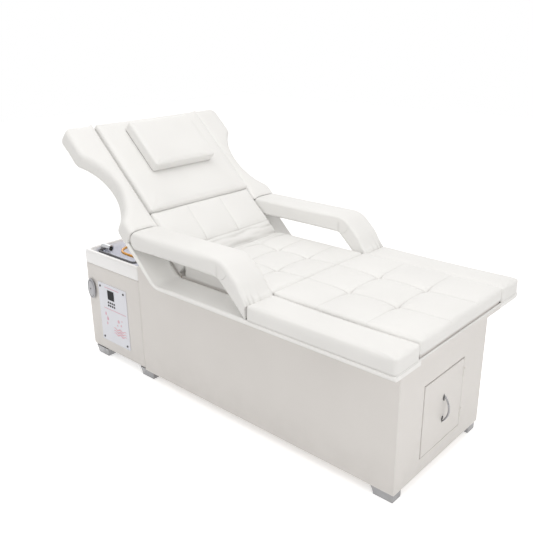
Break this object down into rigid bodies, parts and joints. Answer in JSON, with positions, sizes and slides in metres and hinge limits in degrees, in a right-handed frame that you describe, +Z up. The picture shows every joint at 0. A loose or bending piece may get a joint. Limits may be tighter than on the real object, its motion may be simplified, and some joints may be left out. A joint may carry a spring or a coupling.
{
  "type": "hydrotherapy wash chair",
  "caption": "Padded reclining wash couch with folding armrests, lifting leg rest, cupboard base and a basin cabinet behind the back.",
  "frame": {"origin": "on the floor, under the middle of the couch's length and width", "axes": "+X along the couch to its foot end, +Y across to the side away from the panel, +Z up"},
  "size_m": [1.774, 0.85, 1.1137],
  "materials": {
    "leatherette": "satin",
    "plywood": "raw",
    "steel": "zinc plated",
    "black_steel": "black powder coat",
    "chrome": "polished",
    "grey_plastic": "moulded",
    "white_gloss": "gloss",
    "acrylic": "gloss",
    "dark_glass": "gloss",
    "black_rubber": "matt",
    "brass": "polished",
    "tank_steel": "plain"
  },
  "bodies": {
    "base": {"base_side_near": "leatherette", "base_side_far": "leatherette", "base_floor": "plywood", "base_bulkhead": "plywood", "base_end_panel": "leatherette", "rear_top_board": "plywood", "deck_board": "leatherette", "arm_hinge_pins": "steel", "feet": "chrome", "door_hinge_fixed": "steel", "seat_pad": "leatherette", "side_pad_right": "leatherette", "side_pad_left": "leatherette", "leg_motor": "grey_plastic", "back_hinge_fixed": "steel", "back_hinge_pin": "steel", "back_motor": "grey_plastic", "tank_shell": "leatherette", "basin": "white_gloss", "drain_strainer": "chrome", "drain_trap": "grey_plastic", "water_heater": "tank_steel", "pump": "grey_plastic", "control_box": "grey_plastic", "inlet_stubs": "steel", "power_inlet": "grey_plastic", "panel_plate": "acrylic", "panel_screws": "steel", "display_window": "dark_glass", "panel_keys": "black_rubber", "tap_body": "chrome", "halo_tube": "brass", "halo_clips": "chrome", "tap_hose": "black_rubber"},
    "door": {"door": "leatherette", "door_hinge_moving": "steel", "door_handle": "chrome"},
    "leg_rest": {"leg_board": "plywood", "leg_pad": "leatherette", "leg_lever": "black_steel"},
    "leg_rod": {"leg_rod": "steel"},
    "back": {"back_board": "leatherette", "wing_pad_right": "leatherette", "wing_pad_left": "leatherette", "lower_back_pad": "leatherette", "back_hinge_moving": "steel", "back_lever": "black_steel", "arm_lug_right": "black_steel", "arm_lug_left": "black_steel"},
    "head_cover": {"cover_board": "plywood", "upper_pad": "leatherette", "pillow": "leatherette"},
    "back_rod": {"back_rod": "steel"},
    "armrest_right": {"armrest_right": "leatherette"},
    "armrest_left": {"armrest_left": "leatherette"},
    "arm_leg_right": {"arm_leg_right": "leatherette"},
    "arm_leg_left": {"arm_leg_left": "leatherette"},
    "tap_lever": {"tap_lever": "chrome"},
    "waste_knob": {"waste_knob": "chrome"}
  },
  "joints": [
    {"name": "back_recline", "type": "hinge", "parent": "base", "child": "back", "pos_m": [-0.209, 0, 0.5535], "axis": [0, 1, 0], "range_deg": [-43, 7]},
    {"name": "armrest_right_level", "type": "hinge", "parent": "back", "child": "armrest_right", "pos_m": [-0.32233, -0.355, 0.70909], "axis": [0, 1, 0], "range_deg": [-7, 43]},
    {"name": "armrest_left_level", "type": "hinge", "parent": "back", "child": "armrest_left", "pos_m": [-0.32233, 0.355, 0.70909], "axis": [0, 1, 0], "range_deg": [-7, 43]},
    {"name": "arm_leg_right_fold", "type": "hinge", "parent": "base", "child": "arm_leg_right", "pos_m": [0.278, -0.355, 0.5535], "axis": [0, 1, 0], "range_deg": [-43, 7]},
    {"name": "arm_leg_left_fold", "type": "hinge", "parent": "base", "child": "arm_leg_left", "pos_m": [0.278, 0.355, 0.5535], "axis": [0, 1, 0], "range_deg": [-43, 7]},
    {"name": "back_rod_push", "type": "slide", "parent": "base", "child": "back_rod", "axis": [1, 0, 0], "range_m": [-0.01085, 0.06562]},
    {"name": "head_cover_lift", "type": "slide", "parent": "back", "child": "head_cover", "axis": [0.682, 0, 0.7314], "range_m": [0, 0.06]},
    {"name": "leg_lift", "type": "hinge", "parent": "base", "child": "leg_rest", "pos_m": [0.287, 0, 0.612], "axis": [0, -1, 0], "range_deg": [0, 32]},
    {"name": "leg_rod_push", "type": "slide", "parent": "base", "child": "leg_rod", "axis": [1, 0, 0], "range_m": [0, 0.08289]},
    {"name": "door_swing", "type": "hinge", "parent": "base", "child": "door", "pos_m": [0.835, 0.13825, 0.235], "axis": [0, 0, 1], "range_deg": [0, 105]},
    {"name": "tap_lever_turn", "type": "hinge", "parent": "base", "child": "tap_lever", "pos_m": [-0.832, -0.205, 0.4877], "axis": [0, 0, 1], "range_deg": [-45, 45]},
    {"name": "waste_knob_turn", "type": "hinge", "parent": "base", "child": "waste_knob", "pos_m": [-0.835, -0.3025, 0.343], "axis": [0, 1, 0], "range_deg": [0, 90]}
  ],
  "couplings": [
    {"joint": "armrest_right_level", "follows": "back_recline", "ratio": -1},
    {"joint": "armrest_left_level", "follows": "back_recline", "ratio": -1},
    {"joint": "arm_leg_right_fold", "follows": "back_recline", "ratio": 1},
    {"joint": "arm_leg_left_fold", "follows": "back_recline", "ratio": 1},
    {"joint": "back_rod_push", "follows": "back_recline", "m_per_rad": -0.087171},
    {"joint": "leg_rod_push", "follows": "leg_lift", "m_per_rad": 0.14806}
  ]
}
